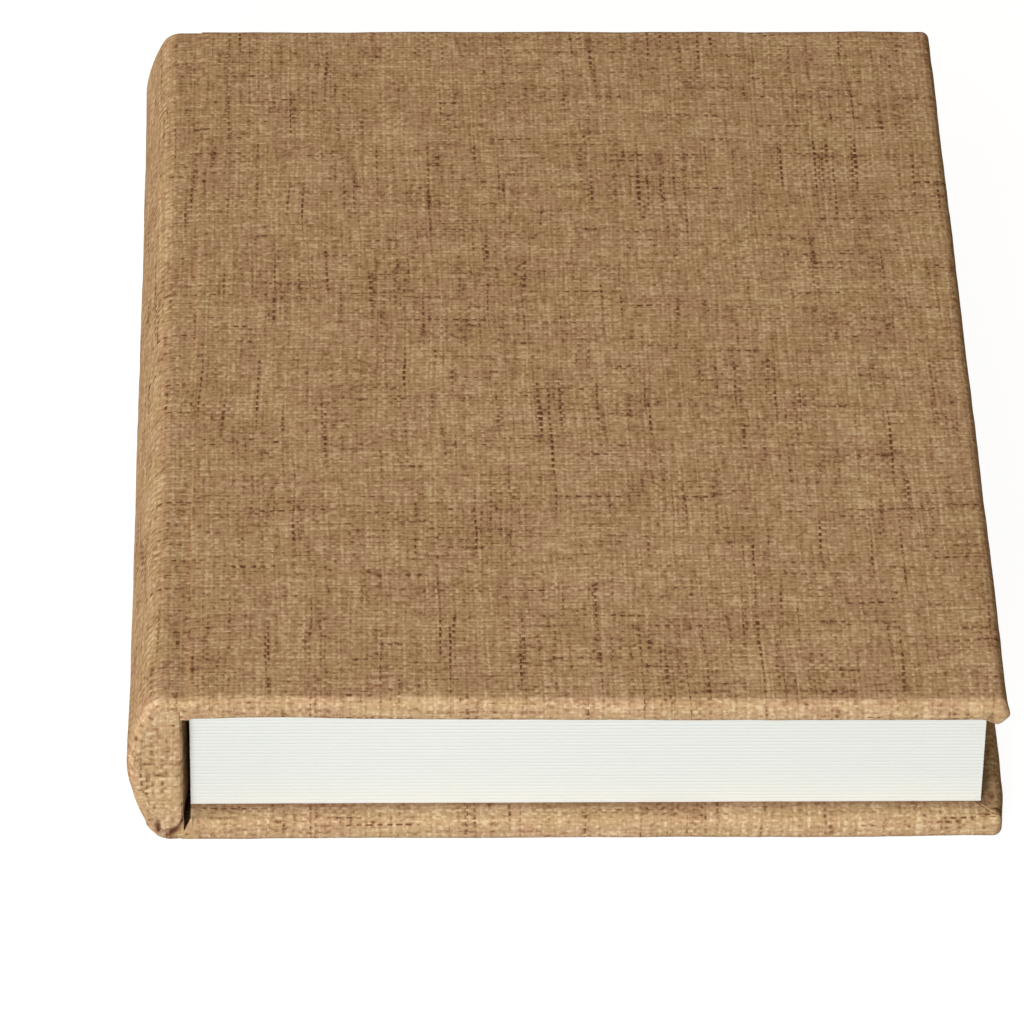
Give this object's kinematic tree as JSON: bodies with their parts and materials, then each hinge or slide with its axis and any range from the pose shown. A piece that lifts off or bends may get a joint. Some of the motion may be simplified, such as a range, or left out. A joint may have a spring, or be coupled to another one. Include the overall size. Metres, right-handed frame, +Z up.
{
  "type": "book box",
  "caption": "Keepsake box shaped like a cloth-bound book: hinged boards and a rounded spine round a tray with page-like walls.",
  "frame": {"origin": "middle of the underside of the closed box", "axes": "+X from the spine to the fore-edge, +Y from the tail to the head, +Z up through the lid"},
  "size_m": [0.201, 0.266, 0.0423],
  "materials": {
    "case_cloth": "plain-woven tan linen look, matt",
    "board": "grey board, bare, hidden",
    "spine_wood": "fibreboard, bare, hidden",
    "page_card": "off-white ribbed card, matt",
    "lining_paper": "plain off-white paper, matt"
  },
  "bodies": {
    "base": {"base_board": "board", "base_cloth": "case_cloth", "base_joint_cloth": "case_cloth", "tray_floor": "board", "tray_tail_wall": "board", "tray_head_wall": "board", "tray_fore_edge_wall": "board", "tray_spine_wall": "board", "tray_spine_cloth": "case_cloth", "tray_wall_lining": "lining_paper", "tray_floor_lining": "lining_paper", "tail_pages": "page_card", "head_pages": "page_card", "fore_edge_pages": "page_card", "lower_hinge_cloth": "case_cloth"},
    "spine": {"spine_block": "spine_wood", "spine_cloth": "case_cloth", "spine_tail_cloth": "case_cloth", "spine_head_cloth": "case_cloth", "spine_lining": "case_cloth", "upper_hinge_cloth": "case_cloth"},
    "lid": {"lid_board": "board", "lid_cloth": "case_cloth", "lid_joint_cloth": "case_cloth", "lid_lining": "lining_paper"}
  },
  "joints": [
    {"name": "spine_hinge", "type": "hinge", "parent": "base", "child": "spine", "pos_m": [-0.0869, 0, 0], "axis": [0, -1, 0], "range_deg": [0, 20]},
    {"name": "lid_hinge", "type": "hinge", "parent": "spine", "child": "lid", "pos_m": [-0.0869, 0, 0.0423], "axis": [0, -1, 0], "range_deg": [0, 172]}
  ]
}
